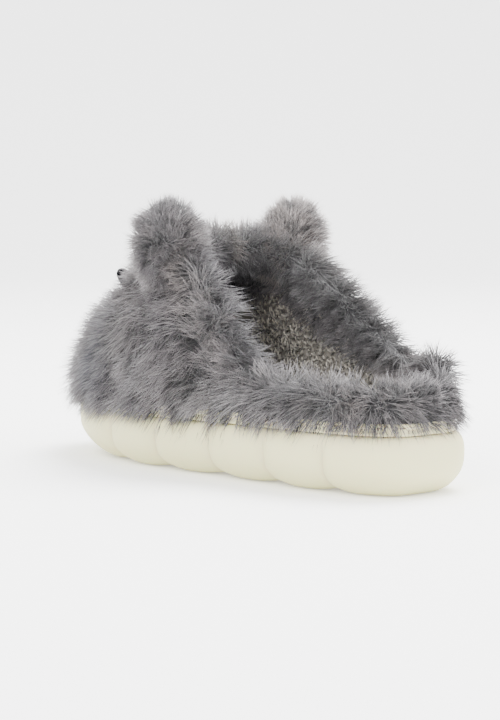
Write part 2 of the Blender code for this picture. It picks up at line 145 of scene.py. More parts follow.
class Side:
    """One side of the footprint, from the heel's back to the toe's tip, measured along its length."""

    def __init__(self, medial):
        turns = [step / FINE_STEPS for step in range(FINE_STEPS + 1)]
        self.points = [footprint_point(turn if medial else 2 - turn) for turn in turns]
        self.sign = 1 if medial else -1
        self.lengths = [0.0]
        for start, end in zip(self.points, self.points[1:]):
            self.lengths.append(self.lengths[-1] + (end - start).length)
        self.length = self.lengths[-1]

    def at(self, distance, inset=0.0):
        """The point this far along the side from the heel, moved in by the inset."""
        distance = max(0.0, min(self.length, distance))
        high = max(1, bisect_left(self.lengths, distance))
        start, end = self.points[high - 1], self.points[high]
        share = (distance - self.lengths[high - 1]) / (self.lengths[high] - self.lengths[high - 1])
        before, after = self.points[max(high - 2, 0)], self.points[min(high + 1, FINE_STEPS)]
        tangent = (after - before).normalized()
        if distance in (0.0, self.length):
            tangent = Vector((self.sign if distance == 0.0 else -self.sign, 0.0))
        return start.lerp(end, share) + Vector((-tangent.y, tangent.x)) * self.sign * inset

    def distance_to(self, y):
        """How far along the side the footprint passes this place along the shoe."""
        high = next(i for i, point in enumerate(self.points) if point.y >= y)
        before, after = self.points[high - 1], self.points[high]
        share = (y - before.y) / (after.y - before.y)
        return self.lengths[high - 1] + share * (self.lengths[high] - self.lengths[high - 1])


def floor_rise(y):
    """How far the sole's underside is off the floor: nothing until the toe spring."""
    return TOE_SPRING * smooth((y - (LENGTH / 2 - TOE_SPRING_LENGTH)) / TOE_SPRING_LENGTH)


def sole_top(y):
    """The height of the sole's top face."""
    return floor_rise(y) + SOLE_HEEL + (SOLE_FOREFOOT - SOLE_HEEL) * smooth(y / LENGTH + 0.5)


def loft(rings, around=False, capped=False):
    """A mesh through closed rings. around joins the last ring to the first, capped fills both ends."""
    mesh = bmesh.new()
    verts = [[mesh.verts.new(point) for point in ring] for ring in rings]
    pairs = list(zip(verts, verts[1:])) + ([(verts[-1], verts[0])] if around else [])
    for low, high in pairs:
        for i in range(len(low)):
            j = (i + 1) % len(low)
            mesh.faces.new((low[i], low[j], high[j], high[i]))
    if capped:
        for ring in (verts[0], verts[-1]):
            mesh.faces.new(ring)
    bmesh.ops.recalc_face_normals(mesh, faces=mesh.faces)
    return mesh


def finished(mesh, name, material, replaced=()):
    """Makes the piece, smooth and riding on the shoe, and hides the solids it stands for."""
    data = mesh
    if isinstance(mesh, bmesh.types.BMesh):
        data = bpy.data.meshes.new(name)
        mesh.to_mesh(data)
        mesh.free()
    data.materials.clear()
    data.materials.append(material)
    data.shade_smooth()
    piece = bpy.data.objects.new(name, data)
    bpy.context.scene.collection.objects.link(piece)
    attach(piece, "root")
    if replaced:
        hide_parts(*replaced)
    return piece


def add(tree, kind, wires=None, **settings):
    """Adds a node with its settings, and links or sets the inputs that wires names."""
    made = tree.nodes.new(kind)
    for name, value in settings.items():
        setattr(made, name, value)
    for socket, value in (wires or {}).items():
        if isinstance(value, bpy.types.NodeSocket):
            tree.links.new(value, made.inputs[socket])
        else:
            made.inputs[socket].default_value = value
    return made


def finish_of(name, roughness, **constants):
    """A material's tree and its Principled shader, with the numbers that are the same all over."""
    material = bpy.data.materials.new(name)
    material.use_nodes = True
    shader = material.node_tree.nodes["Principled BSDF"]
    shader.inputs["Roughness"].default_value = roughness
    for socket, value in constants.items():
        shader.inputs[socket.replace("_", " ")].default_value = value
    return material, material.node_tree, shader


def patch_group():
    """A node group that gives soft patches from 0 to 1, as in dyed pile or moulded foam."""
    group = bpy.data.node_groups.new("soft_patches", "ShaderNodeTree")
    group.interface.new_socket("Scale", in_out="INPUT", socket_type="NodeSocketFloat")
    group.interface.new_socket("Contrast", in_out="INPUT", socket_type="NodeSocketFloat")
    group.interface.new_socket("Patches", in_out="OUTPUT", socket_type="NodeSocketFloat")
    inputs = add(group, "NodeGroupInput")
    place = add(group, "ShaderNodeTexCoord")
    noise = add(group, "ShaderNodeTexNoise", {
        "Vector": place.outputs["Object"], "Scale": inputs.outputs["Scale"], "Detail": 3.0, "Roughness": 0.6,
    })
    centred = add(group, "ShaderNodeMath", {0: noise.outputs["Fac"], 1: 0.5}, operation="SUBTRACT")
    strong = add(group, "ShaderNodeMath", {0: centred.outputs[0], 1: inputs.outputs["Contrast"]},
                 operation="MULTIPLY")
    back = add(group, "ShaderNodeMath", {0: strong.outputs[0], 1: 0.5}, operation="ADD", use_clamp=True)
    add(group, "NodeGroupOutput", {"Patches": back.outputs[0]})
    return group


patches = patch_group()


def soft_patches(tree, scale, contrast):
    """The patches' socket in a material, this many to a metre and this strong."""
    made = add(tree, "ShaderNodeGroup")
    made.node_tree = patches
    made.inputs["Scale"].default_value = scale
    made.inputs["Contrast"].default_value = contrast
    return made.outputs["Patches"]


def mixed(tree, share, low, high, blend="MIX"):
    """A colour between two, each a colour or a socket, at this share."""
    made = add(tree, "ShaderNodeMix", data_type="RGBA", blend_type=blend)
    for socket, value in ((0, share), (6, low), (7, high)):
        if isinstance(value, bpy.types.NodeSocket):
            tree.links.new(value, made.inputs[socket])
        else:
            made.inputs[socket].default_value = value if socket == 0 else (*value, 1.0)
    return made.outputs[2]


def foam_material(name, tint):
    """Cream foam: faint mottling, painted shade in the notches, darker warmer patches near the top edge, and
    a fine moulded grain.
    """
    material, tree, shader = finish_of(name, 0.58, Subsurface_Weight=0.12, Subsurface_Scale=0.006)
    mottle = soft_patches(tree, 26.0, 1.3)
    pale = mixed(tree, mottle, tint, tuple(value * 0.955 for value in tint))
    # Painted shade: the notch attribute darkens the foam down in the notches.
    notch = add(tree, "ShaderNodeAttribute", attribute_name="notch")
    notch_shaded = mixed(tree, notch.outputs["Fac"], pale, NOTCH_SHADE_CREAM)
    place = add(tree, "ShaderNodeTexCoord")
    height = add(tree, "ShaderNodeSeparateXYZ", {"Vector": place.outputs["Object"]}).outputs["Z"]
    # Darker, warmer patches towards the top edge of the foam.
    rim = add(tree, "ShaderNodeMapRange", {
        "Value": height, "From Min": SOLE_FOREFOOT - 0.008, "From Max": SOLE_HEEL + 0.002, "To Max": 0.6,
    }).outputs[0]
    top_edge_tint = mixed(tree, soft_patches(tree, 60.0, 2.2), notch_shaded, TOP_EDGE_CREAM)
    tree.links.new(mixed(tree, rim, notch_shaded, top_edge_tint), shader.inputs["Base Color"])
    grain = add(tree, "ShaderNodeTexNoise", {
        "Vector": place.outputs["Object"], "Scale": 900.0, "Detail": 2.0,
    })
    bump = add(tree, "ShaderNodeBump", {"Height": grain.outputs["Fac"], "Strength": 0.10, "Distance": 0.0004})
    tree.links.new(bump.outputs["Normal"], shader.inputs["Normal"])
    return material


def lobe_steps(side):
    """Distances along the side, close together at each notch, each with its depth from 0 to 1."""
    places = [FIRST_NOTCH + i * LOBE_PITCH for i in range(NOTCHES)]
    notches = [side.distance_to(place - LENGTH / 2) for place in places]
    end = END_LOBE_STEPS // 2
    steps = [notches[0] * math.sin(math.pi / 2 * i / end) for i in range(end)]
    for start, stop in zip(notches, notches[1:]):
        for i in range(SIDE_LOBE_STEPS):
            steps.append(start + (stop - start) * (1 - math.cos(math.pi * i / SIDE_LOBE_STEPS)) / 2)
    for i in range(end + 1):
        steps.append(notches[-1] + (side.length - notches[-1]) * (1 - math.cos(math.pi / 2 * i / end)))
    found = []
    for step in steps:
        near = NOTCH_SOFTNESS * max(0.0, 1 - min(abs(step - notch) for notch in notches) / NOTCH_ROUNDING)
        found.append((step, 1 - math.sqrt(1 - near * near)))
    return found


def sole_rings():
    """Rings up the sole's side, and at each point a weight from its notch depth for the painted shade in the
    notches.
    """
    levels = [(height, share * FOOT_INSET, 1.0) for height, share in SOLE_SIDE]
    side_top = SOLE_SIDE[-1][0]
    for step in range(1, TOP_EDGE_STEPS + 1):
        angle = math.pi / 2 * step / TOP_EDGE_STEPS
        height = side_top + (1 - side_top) * math.sin(angle)
        inset = TOP_INSET * (1 - math.cos(angle))
        levels.append((height, inset, 1.0 - NOTCH_FADE * step / TOP_EDGE_STEPS))
    runs = {side: lobe_steps(side) for side in (medial_side, lateral_side)}
    rings, notch_shade_weights = [], []
    for height, inset, notch_share in levels:
        halves, notch_shade_rows = [], []
        for side, run in runs.items():
            half = []
            for distance, depth in run:
                point = side.at(distance, inset + NOTCH_DEPTH * depth * notch_share)
                low = floor_rise(point.y)
                low += NOTCH_LIFT * depth**0.5 * (1 - smooth(height / NOTCH_LIFT_HEIGHT))
                half.append(Vector((*point, low + height * (sole_top(point.y) - low))))
            halves.append(half)
            notch_shade_rows.append([depth**3 * notch_share for _, depth in run])
        rings.append(halves[0] + halves[1][-2:0:-1])
        notch_shade_weights.extend(notch_shade_rows[0] + notch_shade_rows[1][-2:0:-1])
    return rings, notch_shade_weights


def marked(piece, name, values):
    """Stores one number for each of the piece's vertices."""
    attribute = piece.data.attributes.new(name, "FLOAT", "POINT")
    attribute.data.foreach_set("value", values)
    return piece


medial_side = Side(medial=True)
lateral_side = Side(medial=False)
foam = foam_material("cream_foam", CREAM)
sole_loops, sole_notch_shade = sole_rings()
sole = finished(loft(sole_loops, capped=True), "foam_sole", foam, ("sole",))
# Each vertex's notch depth sets how much painted shade it takes in the notches.
marked(sole, "notch", sole_notch_shade)


# The welt. A strip of the same foam on edge round the top of the sole, stitched through to the upper
# with cream thread, with a bead along its foot. Small dark capsules between the stitches are painted shade
# in the needle holes.
WELT_INSET = 0.0055
WELT_THICKNESS = 0.0026
WELT_HEIGHT = 0.0060
WELT_BEAD = 0.0010
WELT_STEPS = 220
STITCH_PITCH = 0.0115
STITCH_LENGTH = 0.0080
STITCH_RADIUS = 0.00036
NEEDLE_HOLE = 0.0028
STITCH_HEIGHT = 0.0040
WELT_CREAM = (0.61, 0.575, 0.325)
THREAD_CREAM = (0.62, 0.56, 0.42)
# Painted shade in the needle holes between the stitches.
HOLE_SHADE_BROWN = (0.16, 0.13, 0.10)


def welt_rings():
    """The strip's section, carried round the sole: bead, groove for the stitches and rounded top edge."""
    rim = WELT_THICKNESS / 2
    section = (
        (WELT_THICKNESS, 0.0),
        (-WELT_BEAD * 0.6, 0.0),
        (-WELT_BEAD, WELT_BEAD * 0.5),
        (-WELT_BEAD * 0.9, WELT_BEAD * 1.2),
        (-WELT_BEAD * 0.2, WELT_BEAD * 1.9),
        (0.0, WELT_BEAD * 2.3),
        (0.0, STITCH_HEIGHT - 0.0006),
        (0.0004, STITCH_HEIGHT),
        (0.0, STITCH_HEIGHT + 0.0006),
        (0.0002, WELT_HEIGHT - rim * 0.6),
        (rim * 0.35, WELT_HEIGHT - rim * 0.12),
        (rim * 0.8, WELT_HEIGHT),
        (WELT_THICKNESS, WELT_HEIGHT - rim * 0.4),
    )
    rings = []
    for inset, height in section:
        halves = []
        for side in (medial_side, lateral_side):
            half = []
            for i in range(WELT_STEPS // 2 + 1):
                point = side.at(side.length * i / (WELT_STEPS // 2), WELT_INSET + inset)
                half.append(Vector((*point, sole_top(point.y) + GAP + height)))
            halves.append(half)
        rings.append(halves[0] + halves[1][-2:0:-1])
    return rings


def stitch_tree():
    """Repeats a stitch along a path at an even pitch, each turned to the path."""
    tree = bpy.data.node_groups.new("stitches", "GeometryNodeTree")
    sockets = (
        ("Geometry", "Geometry"), ("Pitch", "Float"), ("Stitch", "Object"), ("Thread", "Material"),
    )
    for name, kind in sockets:
        tree.interface.new_socket(name, in_out="INPUT", socket_type=f"NodeSocket{kind}")
    tree.interface.new_socket("Geometry", in_out="OUTPUT", socket_type="NodeSocketGeometry")
    given = add(tree, "NodeGroupInput").outputs
    path = add(tree, "GeometryNodeMeshToCurve", {"Mesh": given["Geometry"]})
    even = add(tree, "GeometryNodeResampleCurve", {"Curve": path.outputs[0], "Length": given["Pitch"]},
               mode="LENGTH")
    tangent = add(tree, "GeometryNodeInputTangent")
    turned = add(tree, "FunctionNodeAlignRotationToVector", {"Vector": tangent.outputs[0]}, axis="X")
    shape = add(tree, "GeometryNodeObjectInfo", {"Object": given["Stitch"]})
    copies = add(tree, "GeometryNodeInstanceOnPoints", {
        "Points": even.outputs[0], "Instance": shape.outputs["Geometry"], "Rotation": turned.outputs[0],
    })
    real = add(tree, "GeometryNodeRealizeInstances", {"Geometry": copies.outputs[0]})
    dressed = add(tree, "GeometryNodeSetMaterial", {"Geometry": real.outputs[0], "Material": given["Thread"]})
    add(tree, "NodeGroupOutput", {"Geometry": dressed.outputs[0]})
    return tree


def grown(carrier, tree, **values):
    """The plain mesh that a node tree makes on a carrier, which is then removed."""
    bpy.context.scene.collection.objects.link(carrier)
    modifier = carrier.modifiers.new("grown", "NODES")
    modifier.node_group = tree
    for socket in tree.interface.items_tree:
        if socket.in_out == "INPUT" and socket.name in values:
            modifier[socket.identifier] = values[socket.name]
    graph = bpy.context.evaluated_depsgraph_get()
    made = bpy.data.meshes.new_from_object(carrier.evaluated_get(graph), preserve_all_data_layers=True,
                                           depsgraph=graph)
    bpy.data.objects.remove(carrier)
    return made


def capsule(name, radius, length, around=8):
    """A short length of thread with rounded ends, along X."""
    rings = []
    for end in (-1, 1):
        for step in range(1, 5):
            angle = math.pi / 8 * (step if end < 0 else 5 - step)
            x = end * (length / 2 - radius + radius * math.cos(angle))
            turns = [2 * math.pi * side / around for side in range(around)]
            thick = radius * math.sin(angle)
            rings.append([Vector((x, thick * math.cos(turn), thick * math.sin(turn))) for turn in turns])
    mesh = loft(rings, capped=True)
    data = bpy.data.meshes.new(name)
    mesh.to_mesh(data)
    mesh.free()
    return bpy.data.objects.new(name, data)


def stitch_path(start):
    """The line on the welt's outer face that the stitches follow, from this far along it."""
    whole = medial_side.length + lateral_side.length
    ring = []
    for i in range(WELT_STEPS):
        far = (start + whole * i / WELT_STEPS) % whole
        medial = far <= medial_side.length
        point = medial_side.at(far, WELT_INSET) if medial else lateral_side.at(whole - far, WELT_INSET)
        ring.append(Vector((*point, sole_top(point.y) + GAP + STITCH_HEIGHT)))
    data = bpy.data.meshes.new("stitch_path")
    data.from_pydata(ring, [(i, (i + 1) % len(ring)) for i in range(len(ring))], [])
    return bpy.data.objects.new("stitch_path", data)


def thread_material(name, colour, roughness, gloss=0.3):
    """Twisted thread: fine slanted ribs along its length."""
    material, tree, shader = finish_of(name, roughness, Specular_IOR_Level=gloss)
    shader.inputs["Base Color"].default_value = (*colour, 1.0)
    place = add(tree, "ShaderNodeTexCoord")
    turned = add(tree, "ShaderNodeMapping", {"Vector": place.outputs["Object"], "Rotation": (0.4, 0.5, 0.7)})
    ribs = add(tree, "ShaderNodeTexWave", {"Vector": turned.outputs[0], "Scale": 420.0, "Distortion": 1.5})
    bump = add(tree, "ShaderNodeBump", {"Height": ribs.outputs["Fac"], "Strength": 0.5, "Distance": 0.0003})
    tree.links.new(bump.outputs["Normal"], shader.inputs["Normal"])
    return material


welt_foam = foam_material("welt_foam", WELT_CREAM)
welt = finished(loft(welt_rings(), around=True), "foam_welt", welt_foam, ("welt",))
# The welt takes no painted notch shade.
marked(welt, "notch", [0.0] * len(welt.data.vertices))
cream_thread = thread_material("cream_thread", THREAD_CREAM, 0.7)
hole_shade = thread_material("needle_hole_shade", HOLE_SHADE_BROWN, 0.9)
stitches = stitch_tree()
one_stitch = capsule("one_stitch", STITCH_RADIUS, STITCH_LENGTH)
one_hole = capsule("one_hole", STITCH_RADIUS * 1.2, NEEDLE_HOLE)
# The dark capsules between the stitches are painted shade in the needle holes.
for name, shape, start, thread in (
    ("welt_stitches", one_stitch, 0.0, cream_thread),
    ("welt_holes", one_hole, STITCH_PITCH / 2, hole_shade),
):
    row = grown(stitch_path(start), stitches, Pitch=STITCH_PITCH, Stitch=shape, Thread=thread)
    finished(row, name, thread)
    bpy.data.objects.remove(shape)


# The upper. One soft shell of knitted backing with long grey pile outside, padded at the collar, where
# the pile is turned in as a thick roll. The skin is a loft; the fur is strands grown on it.
INSTEP_HEIGHT = 0.121
HEEL_HEIGHT = 0.050
WALL = 0.0035
WELT_RISE = 0.08
SIDE_PUFF = 0.0035
TOE_PUFF = 0.0110
PUFF_LOW = 0.65
TOE_SLOPE = 0.54
ROLL_THICKNESS = 0.0090
ROLL_DEPTH = 0.0260
ROLL_CREST = 0.0032

# Share of the way from the heel to the toe along the footprint, then the half width as a share of half
# the ball width, the place along the shoe as a share of the length from its middle, and the height as a
# share of the way from the heel's height to the instep's.
COLLAR_LATERAL = (
    (0.00, 0.00, -0.432, 0.00),
    (0.07, 0.33, -0.424, 0.00),
    (0.16, 0.63, -0.375, 0.00),
    (0.30, 0.70, -0.270, 0.01),
    (0.42, 0.71, -0.170, 0.03),
    (0.50, 0.72, -0.085, 0.21),
    (0.57, 0.72, -0.015, 0.57),
    (0.63, 0.69, 0.045, 0.83),
    (0.72, 0.56, 0.085, 0.93),
    (0.86, 0.30, 0.098, 0.99),
    (1.00, 0.00, 0.100, 1.00),
)
COLLAR_MEDIAL = (
    (0.00, 0.00, -0.432, 0.00),
    (0.07, 0.33, -0.424, 0.01),
    (0.16, 0.63, -0.375, 0.06),
    (0.30, 0.70, -0.280, 0.17),
    (0.42, 0.71, -0.200, 0.34),
    (0.50, 0.71, -0.130, 0.53),
    (0.57, 0.71, -0.055, 0.73),
    (0.63, 0.69, 0.025, 0.88),
    (0.72, 0.56, 0.080, 0.94),
    (0.86, 0.30, 0.098, 0.99),
    (1.00, 0.00, 0.100, 1.00),
)

# Soft troughs and ridges: the turn and rise of the middle, half its length along the turn and
# half its width up the rise, how much it climbs along its length, and its depth in metres.
CREASES = (
    (1.33, 0.60, 0.05, 0.12, 0.9, -0.0035),
    (1.21, 0.50, 0.03, 0.32, -0.3, -0.0055),
    (1.42, 0.55, 0.07, 0.10, 0.5, 0.0025),
    (1.12, 0.35, 0.06, 0.14, 0.4, -0.0028),
    (1.62, 0.50, 0.10, 0.18, 0.3, -0.0018),
    (0.72, 0.50, 0.06, 0.20, -0.5, -0.0030),
    (0.58, 0.62, 0.08, 0.12, -0.8, -0.0025),
    (0.90, 0.72, 0.08, 0.10, 0.0, -0.0028),
    (1.02, 0.45, 0.10, 0.10, 0.0, -0.0020),
)


def side_and_share(turn):
    """The side of the footprint that a turn falls on, and how far along it from the heel to the toe."""
    turn = turn % 2
    return (medial_side, turn) if turn <= 1 else (lateral_side, 2 - turn)


def collar_point(side, share):
    """Where the collar's line passes over this share of the side."""
    rows = COLLAR_MEDIAL if side.sign > 0 else COLLAR_LATERAL
    half = along(rows, share, 1) * BALL_WIDTH / 2
    y = along(rows, share, 2) * LENGTH
    height = HEEL_HEIGHT + (INSTEP_HEIGHT - HEEL_HEIGHT) * along(rows, share, 3)
    return Vector((side.sign * half + TOE_SWING * smooth(y / LENGTH * 2), y, height))


def upper_point(turn, rise):
    """A point of the upper's outer face, from the sole at rise 0 past the welt to the collar at 1."""
    side, share = side_and_share(turn)
    inner = side.at(side.length * share, WELT_INSET + WELT_THICKNESS + GAP)
    foot = Vector((*inner, sole_top(inner.y) + GAP))
    welt_top = foot + Vector((0.0, 0.0, WELT_HEIGHT + GAP))
    if rise <= WELT_RISE:
        return foot.lerp(welt_top, rise / WELT_RISE)
    bend = min(1.0, (rise - WELT_RISE) / (1 - WELT_RISE))
    angle = math.pi / 2 * bend
    toewards = smooth((share - 0.55) / 0.4)
    slope = 1 + TOE_SLOPE * toewards
    inwards = 1 - max(0.0, math.cos(angle)) ** slope
    reach = collar_point(side, share) - welt_top
    out = (side.at(side.length * share) - inner).normalized()
    puff = SIDE_PUFF * smooth(share * 5) + (TOE_PUFF - SIDE_PUFF) * toewards
    puff *= max(0.0, math.sin(math.pi * bend**PUFF_LOW))
    return welt_top + Vector((
        reach.x * inwards + out.x * puff,
        reach.y * inwards + out.y * puff,
        reach.z * math.sin(angle) ** slope,
    ))


def outward(turn, rise):
    """The outer face's normal and the way up it, at this turn and rise."""
    low, high = max(0.0, rise - 0.01), min(1.0, rise + 0.01)
    up = (upper_point(turn, high) - upper_point(turn, low)).normalized()
    round_way = upper_point(turn + 0.004, rise) - upper_point(turn - 0.004, rise)
    return round_way.cross(up).normalized(), up


def crease_at(turn, rise):
    """How far the listed troughs and ridges move the skin, in along the normal if below 0."""
    moved = 0.0
    for middle, height, half_length, half_width, climb, depth in CREASES:
        off = (turn - middle + 1) % 2 - 1
        up = rise - height - climb * off
        moved += depth * math.exp(-((off / half_length) ** 2) - (up / half_width) ** 2)
    return moved


def roll_share(turn):
    """The share of the rise that the collar's roll takes here."""
    return min(0.5, ROLL_DEPTH / (upper_point(turn, 1.0) - upper_point(turn, 0.0)).length)


def shell_point(turn, level):
    """The skin's point, normal and way up the face. level is the rise up the outer face from 0 to 1, then
    from 1 to 2 goes over the collar, and from 2 to 3 back down the inner face."""
    if level <= 1.0:
        out, up = outward(turn, level)
        return upper_point(turn, level) + out * crease_at(turn, level) * smooth(level * 5), out, up
    if level < 2.0:
        out, up = outward(turn, 1.0)
        angle = math.pi * (level - 1.0)
        middle = upper_point(turn, 1.0) - out * ROLL_THICKNESS / 2
        over = out * math.cos(angle) + up * math.sin(angle)
        way = up * math.cos(angle) - out * math.sin(angle)
        point = middle + out * math.cos(angle) * ROLL_THICKNESS / 2 + up * math.sin(angle) * ROLL_CREST
        return point, over, way
    rise = 3.0 - level
    out, up = outward(turn, rise)
    roll = roll_share(turn)
    wall = WALL + (ROLL_THICKNESS - WALL) * smooth((rise - (1 - roll)) / roll)
    if rise == 0.0:
        out = Vector((out.x, out.y, 0.0)).normalized()
    crease = crease_at(turn, rise) * smooth(rise * 5)
    return upper_point(turn, rise) + out * (crease - wall), -out, -up


def pile_carrier(name, data, naps, lengths, shades=None, warmths=None):
    """A surface to grow pile on, which knows at each vertex the pile's lie, its length, how light it is,
    with painted light and shade in that, and how warm its grey is."""
    flat = [value for nap in naps for value in nap.normalized()]
    plain = [0.5] * len(naps)
    data.attributes.new("nap", "FLOAT_VECTOR", "POINT").data.foreach_set("vector", flat)
    for label, values in (("pile", lengths), ("shade", shades or plain), ("warmth", warmths or plain)):
        data.attributes.new(label, "FLOAT", "POINT").data.foreach_set("value", values)
    return bpy.data.objects.new(name, data)


def patch(name, turns, levels, comb):
    """An open grid on the skin, to grow pile on as comb says."""
    points, naps, lengths, faces = [], [], [], []
    shades, warmths = [], []
    for level in levels:
        for turn in turns:
            point, out, up = shell_point(turn, level)
            nap, length = comb(turn, level, point, out, up)
            points.append(point)
            naps.append(nap)
            lengths.append(length)
            shade, warmth = dye_light_and_shade_at(turn, level)
            shades.append(shade)
            warmths.append(warmth)
    width = len(turns)
    for i in range(len(levels) - 1):
        for j in range(width - 1):
            corner = i * width + j
            faces.append((corner, corner + 1, corner + 1 + width, corner + width))
    data = bpy.data.meshes.new(name)
    data.from_pydata(points, [], faces)
    return pile_carrier(name, data, naps, lengths, shades, warmths)


def spaced(low, high, count):
    """Evenly spaced numbers from low to high, both among them."""
    return [low + (high - low) * i / (count - 1) for i in range(count)]


# Where the pile is darker or lighter, cooler or warmer than its mean, read off the photograph: partly the
# pile's own tone, as in the beige tuft between the ears, and partly painted light and shade, as in the darker
# facing inside the collar and the lighter rim along its top. The turn and level of the middle, half its
# length round and half its height, then the change in shade and in warmth.
DYES_LIGHT_AND_SHADE = (
    (1.27, 0.32, 0.045, 0.15, -0.50, -0.55),
    (1.19, 0.62, 0.022, 0.26, -0.30, -0.10),
    (1.30, 0.62, 0.05, 0.12, 0.22, 0.10),
    (1.10, 0.55, 0.09, 0.20, 0.20, 0.20),
    (1.33, 0.38, 0.05, 0.10, -0.20, 0.25),
    (1.45, 0.85, 0.10, 0.14, 0.28, 0.10),
    (1.52, 0.40, 0.06, 0.16, -0.16, 0.20),
    (1.36, 0.95, 0.06, 0.12, 0.25, 0.30),
    (0.985, 1.25, 0.07, 0.40, 0.40, 0.80),
    (0.80, 1.70, 0.12, 0.50, -0.48, -0.10),
    (1.00, 2.05, 0.16, 0.35, -0.45, -0.45),
    (1.60, 0.95, 0.10, 0.10, 0.05, 0.10),
    (1.72, 0.60, 0.05, 0.22, -0.34, -0.05),
    (1.82, 0.55, 0.06, 0.25, 0.20, 0.30),
    (1.94, 0.70, 0.05, 0.30, 0.24, 0.10),
    (0.62, 1.10, 0.20, 0.30, 0.16, 0.30),
    (0.58, 1.80, 0.40, 0.55, -0.55, 0.10),
    (1.50, 1.60, 0.25, 0.30, -0.18, -0.20),
    (0.20, 1.60, 0.12, 0.40, 0.20, 0.15),
)


def dye_light_and_shade_at(turn, level):
    """The pile's shade and warmth here, both from 0 to 1 with 0.5 for its mean; the shade holds painted light
    and shade as well as the pile's own tone.
    """
    shade, warmth = 0.5, 0.5
    for middle, height, half_length, half_height, lighter, warmer in DYES_LIGHT_AND_SHADE:
        off = (turn - middle + 1) % 2 - 1
        near = math.exp(-((off / half_length) ** 2) - ((level - height) / half_height) ** 2)
        shade += near * lighter
        warmth += near * warmer
    return max(0.0, min(1.0, shade)), max(0.0, min(1.0, warmth))


# The fur. Long soft pile in clumps: dark at the root, which is partly the pile's own colour and partly
# painted shade deep in the pile, grey along the strand and pale at the tip. Each strand is a thin three-sided
# spike, leant with the nap, pulled towards its clump and bent by its weight.
FUR_SIDES = 3
FUR_JOINTS = (0.0, 0.5, 1.0)
FUR_WIDTHS = (1.0, 0.72, 0.0)
FUR_HALF_WIDTH = 0.00026
FUR_DENSITY = 1_480_000
# The root's dark grey is partly painted shade deep in the pile.
ROOT_SHADE_GREY = (0.009, 0.0083, 0.0090)
MIDDLE_GREY = (0.040, 0.038, 0.039)
TIP_GREY = (0.190, 0.178, 0.177)
BACKING_GREY = (0.045, 0.043, 0.046)
BACKING_TAUPE = (0.20, 0.183, 0.157)


def strand_object():
    """One upright strand of unit size, which knows how far up it each point is."""
    points, heights = [], []
    for joint, width in zip(FUR_JOINTS, FUR_WIDTHS):
        for side in range(FUR_SIDES if width else 1):
            angle = 2 * math.pi * side / FUR_SIDES
            points.append((width * math.cos(angle), width * math.sin(angle), joint))
            heights.append(joint)
    faces = []
    for ring in range(len(FUR_JOINTS) - 1):
        for side in range(FUR_SIDES):
            low, low_next = ring * FUR_SIDES + side, ring * FUR_SIDES + (side + 1) % FUR_SIDES
            if ring == len(FUR_JOINTS) - 2:
                faces.append((low, low_next, len(points) - 1))
            else:
                faces.append((low, low_next, low_next + FUR_SIDES, low + FUR_SIDES))
    data = bpy.data.meshes.new("strand")
    data.from_pydata(points, [], faces)
    data.attributes.new("along", "FLOAT", "POINT").data.foreach_set("value", heights)
    return bpy.data.objects.new("strand", data)


